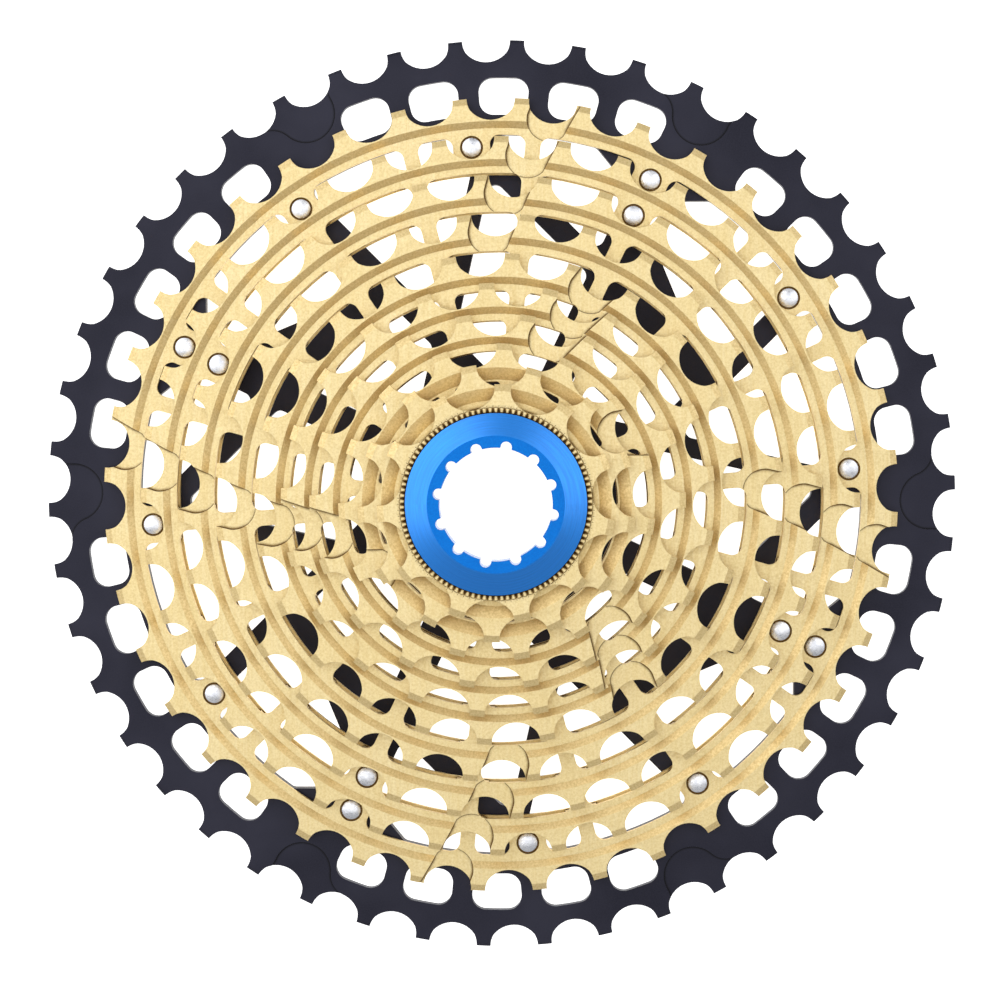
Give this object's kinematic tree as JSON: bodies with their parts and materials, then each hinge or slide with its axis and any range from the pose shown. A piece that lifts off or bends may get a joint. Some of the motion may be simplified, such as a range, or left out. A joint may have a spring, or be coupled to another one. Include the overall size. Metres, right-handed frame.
{
  "type": "cassette sprocket",
  "caption": "Wide-range bicycle cassette: stacked gold sprockets riveted to a black large sprocket with an open spider, clamped by a blue lockring.",
  "frame": {"origin": "on the hub axis, at the inboard face that sits against the wheel hub", "axes": "+Z along the hub axis, outboard towards the smallest sprocket and lockring; +X and +Y in the plane of the sprockets"},
  "size_m": [0.1872, 0.1872, 0.0412],
  "materials": {
    "black_anodised": "satin black anodised",
    "gold_steel": "satin gold coated steel",
    "rivet_steel": "polished",
    "washer_steel": "satin",
    "blue_anodised": "satin blue anodised"
  },
  "bodies": {
    "cassette": {"sprocket_46t_carrier": "black_anodised", "sprocket_40t": "gold_steel", "sprocket_36t": "gold_steel", "sprocket_32t": "gold_steel", "sprocket_28t": "gold_steel", "sprocket_24t": "gold_steel", "sprocket_21t": "gold_steel", "sprocket_18t": "gold_steel", "sprocket_15t": "gold_steel", "sprocket_13t": "gold_steel", "sprocket_11t": "gold_steel", "outer_rivet_01": "rivet_steel", "outer_rivet_02": "rivet_steel", "outer_rivet_03": "rivet_steel", "outer_rivet_04": "rivet_steel", "outer_rivet_05": "rivet_steel", "outer_rivet_06": "rivet_steel", "outer_rivet_07": "rivet_steel", "outer_rivet_08": "rivet_steel", "outer_rivet_09": "rivet_steel", "outer_rivet_10": "rivet_steel", "outer_rivet_11": "rivet_steel", "outer_rivet_12": "rivet_steel", "inner_rivet_1": "rivet_steel", "inner_rivet_2": "rivet_steel", "inner_rivet_3": "rivet_steel", "inner_rivet_4": "rivet_steel"},
    "washer": {"lockring_washer": "washer_steel"},
    "lockring": {"lockring": "blue_anodised"}
  },
  "joints": [
    {"name": "lockring_travel", "type": "slide", "parent": "cassette", "child": "washer", "axis": [0, 0, 1], "range_m": [0, 0.005]},
    {"name": "lockring_turn", "type": "hinge", "parent": "washer", "child": "lockring", "pos_m": [0, 0, 0.0388], "axis": [0, 0, 1], "range_deg": [0, 1701]}
  ],
  "couplings": [
    {"joint": "lockring_turn", "follows": "lockring_travel", "rad_per_m": 5936.9}
  ]
}
